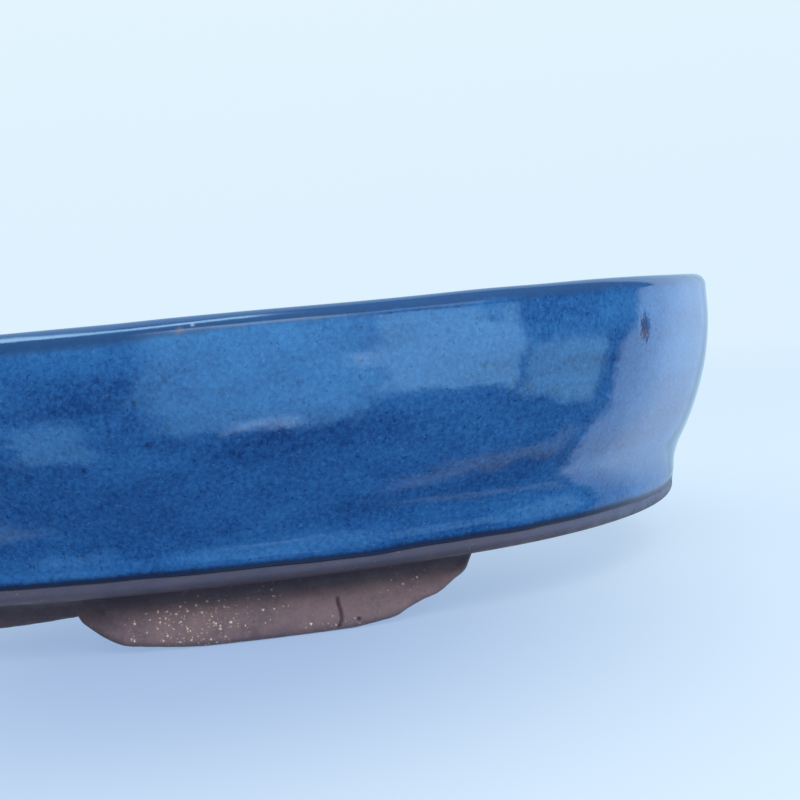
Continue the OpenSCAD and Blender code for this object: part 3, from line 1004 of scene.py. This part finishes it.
def patch_light(a0, a1, e0, e1, soft_a, soft_e):
    """1 inside a patch of the studio's surroundings, in degrees, with soft edges."""
    f_ = wmath("MULTIPLY", wramp(azw, a0 - soft_a, a0 + soft_a), wramp(azw, a1 - soft_a, a1 + soft_a, 1.0, 0.0))
    g_ = wmath("MULTIPLY", wramp(elw, e0 - soft_e, e0 + soft_e), wramp(elw, e1 - soft_e, e1 + soft_e, 1.0, 0.0))
    return wmath("MULTIPLY", f_, g_)


az2 = wmath("ADD", azw, wmath("MULTIPLY", wmath("LESS_THAN", azw, 0.0), 360.0))      # 0 to 360


def patch2(a0, a1, e0, e1, soft_a, soft_e):
    f_ = wmath("MULTIPLY", wramp(az2, a0 - soft_a, a0 + soft_a), wramp(az2, a1 - soft_a, a1 + soft_a, 1.0, 0.0))
    g_ = wmath("MULTIPLY", wramp(elw, e0 - soft_e, e0 + soft_e), wramp(elw, e1 - soft_e, e1 + soft_e, 1.0, 0.0))
    return wmath("MULTIPLY", f_, g_)


def vec_add(a, b):
    n = wn("ShaderNodeVectorMath", operation="ADD")
    wput(n.inputs[0], a)
    wput(n.inputs[1], b)
    return n.outputs[0]


def vec_scale(colour, k_):
    n = wn("ShaderNodeVectorMath", operation="SCALE")
    n.inputs[0].default_value = colour
    wput(n.inputs["Scale"], k_)
    return n.outputs[0]


# what the glaze reflects: a bright sweep behind, brightest to the right, a dim room in front, panels and lamps in it
glossy = vec_scale((0.045, 0.075, 0.11), 1.0)
edge_az = wmath("SUBTRACT", 61.0, wmath("MULTIPLY", wmath("MAXIMUM", wmath("ADD", el, 10.0), 0.0), 0.72))
edge_az = wmath("SUBTRACT", edge_az, wmath("MULTIPLY", wmath("MAXIMUM", wmath("SUBTRACT", -33.0, el), 0.0), 0.35))
past = wmath("SUBTRACT", azw, edge_az)
right_amt = wmath("MULTIPLY", wmath("MULTIPLY", wramp(azw, 0, 8), wramp(az, 2, 44, 0.42, 1.0)), wramp(past, -2.0, 2.0, 1.0, 0.0))
right_amt = wmath("MULTIPLY", right_amt, wmath("MULTIPLY", wramp(el, 65, 85, 1.0, 0.3), wramp(past, -34, -6, 1.0, 0.76)))
glossy = vec_add(glossy, vec_scale((1.62, 2.2, 2.85), right_amt))
glossy = vec_add(glossy, vec_scale((0.66, 0.92, 1.10), wmath("MULTIPLY", patch_light(-150, 4, -90, 100, 5.0, 6), wramp(el, 0, 80, 0.82, 1.0))))
slant = wmath("ADD", elw, wmath("MULTIPLY", wmath("SUBTRACT", azw, 68.0), 0.38))
slant_amt = wmath("MULTIPLY", wmath("MULTIPLY", wramp(azw, 61, 69), wramp(azw, 108, 120, 1.0, 0.0)), wmath("MULTIPLY", wramp(slant, -47, -43), wramp(slant, -39, -35, 1.0, 0.0)))
glossy = vec_add(glossy, vec_scale((0.62, 0.68, 0.52), slant_amt))
for colour, box in (
    ((0.62, 1.55, 2.35), (131, 163, -31, 7, 2.0, 1.5)),
    ((1.25, 2.5, 3.3), (99.5, 130, -23, 1.5, 1.5, 2.0)),
    ((0.85, 1.7, 2.1), (68, 97, -28, -7, 2.5, 2.5)),
    ((1.5, 2.0, 2.3), (141, 153, -32.5, -28.5, 2.0, 1.0)),
    ((1.4, 1.7, 1.9), (129.5, 134, -10.5, -7.0, 1.0, 0.8)),
    ((3.2, 3.9, 4.2), (134, 160, 8.0, 22, 3.0, 3.0)),
    ((1.3, 1.7, 1.9), (110, 134, 8.0, 22, 3.0, 3.0)),
    ((0.5, 1.3, 2.0), (176, 190, -37, -22, 2.0, 3.0)),
):
    glossy = vec_add(glossy, vec_scale(colour, patch2(*box)))


lamp_el = wmath("SUBTRACT", elw, wmath("MULTIPLY", wmath("MAXIMUM", wmath("SUBTRACT", 182.0, az2), 0.0), 0.62))
lamp = wmath("MULTIPLY", wmath("MULTIPLY", wramp(az2, 130, 146), wramp(az2, 254, 270, 1.0, 0.0)), wmath("MULTIPLY", wramp(lamp_el, 38, 50), wramp(lamp_el, 58, 70, 1.0, 0.0)))
glossy = vec_add(glossy, vec_scale((5.4, 8.8, 11.0), lamp))


class _G:
    outputs = {2: glossy}


gl_col = _G()
behind = wramp(wmath("ABSOLUTE", wmath("ADD", az, 20.0)), 70, 130, 1.0, 0.0)
dif_amt = wmath("MULTIPLY", wmath("ADD", wramp(el, 0, 55, 0.22, 1.35), wmath("MULTIPLY", behind, 0.55)), DOME)
df_col = wn("ShaderNodeMix", data_type="RGBA", blend_type="MULTIPLY")
df_col.inputs[0].default_value = 1.0
df_col.inputs[6].default_value = (0.86, 0.93, 1.0, 1.0)
wt.links.new(dif_amt, df_col.inputs[7])
sky = wmix(wramp(el, 0.0, 22.0), FAR, lin(229, 245, 254))
lp = wn("ShaderNodeLightPath")
lit = wmix(lp.outputs["Is Glossy Ray"], df_col.outputs[2], gl_col.outputs[2])
final = wmix(lp.outputs["Is Camera Ray"], lit, sky)
bg = wn("ShaderNodeBackground")
wt.links.new(final, bg.inputs[0])
bg.inputs[1].default_value = 1.0
wo = wn("ShaderNodeOutputWorld")
wt.links.new(bg.outputs[0], wo.inputs[0])


def area(name, loc, target, size, power, colour=(1, 0.98, 0.95), size_y=None, glossy_on=True):
    d = bpy.data.lights.new(name, "AREA")
    d.energy = power
    d.color = colour
    d.size = size
    if size_y:
        d.shape = "RECTANGLE"
        d.size_y = size_y
    o = bpy.data.objects.new(name, d)
    scene.collection.objects.link(o)
    o.location = loc
    o.rotation_euler = (Vector(target) - Vector(loc)).to_track_quat("-Z", "Y").to_euler()
    o.visible_camera = False
    o.visible_glossy = glossy_on
    return o


area("key_overhead", (0.62, -0.55, 0.80), (0.06, -0.06, 0.03), 0.9, 7.0, (0.96, 0.98, 1.0), glossy_on=False)

cam_data = bpy.data.cameras.new("camera")
cam_data.sensor_width = 36.0
cam_data.lens = 58.5
cam_data.clip_start = 0.01
cam_data.clip_end = 50
cam = bpy.data.objects.new("camera", cam_data)
scene.collection.objects.link(cam)
yaw, pitch, roll = (math.radians(a_) for a_ in (-25.126, -3.513, -5.503))
fwd = Vector((math.sin(yaw) * math.cos(pitch), math.cos(yaw) * math.cos(pitch), math.sin(pitch)))
right = Vector((math.cos(yaw), -math.sin(yaw), 0))
upv = right.cross(fwd)
r2 = right * math.cos(roll) + upv * math.sin(roll)
u2 = -right * math.sin(roll) + upv * math.cos(roll)
mw = Matrix((r2, u2, -fwd)).transposed().to_4x4()
mw.translation = Vector((0.25094, -0.32366, 0.0653))
cam.matrix_world = mw
scene.camera = cam

bpy.context.view_layer.update()
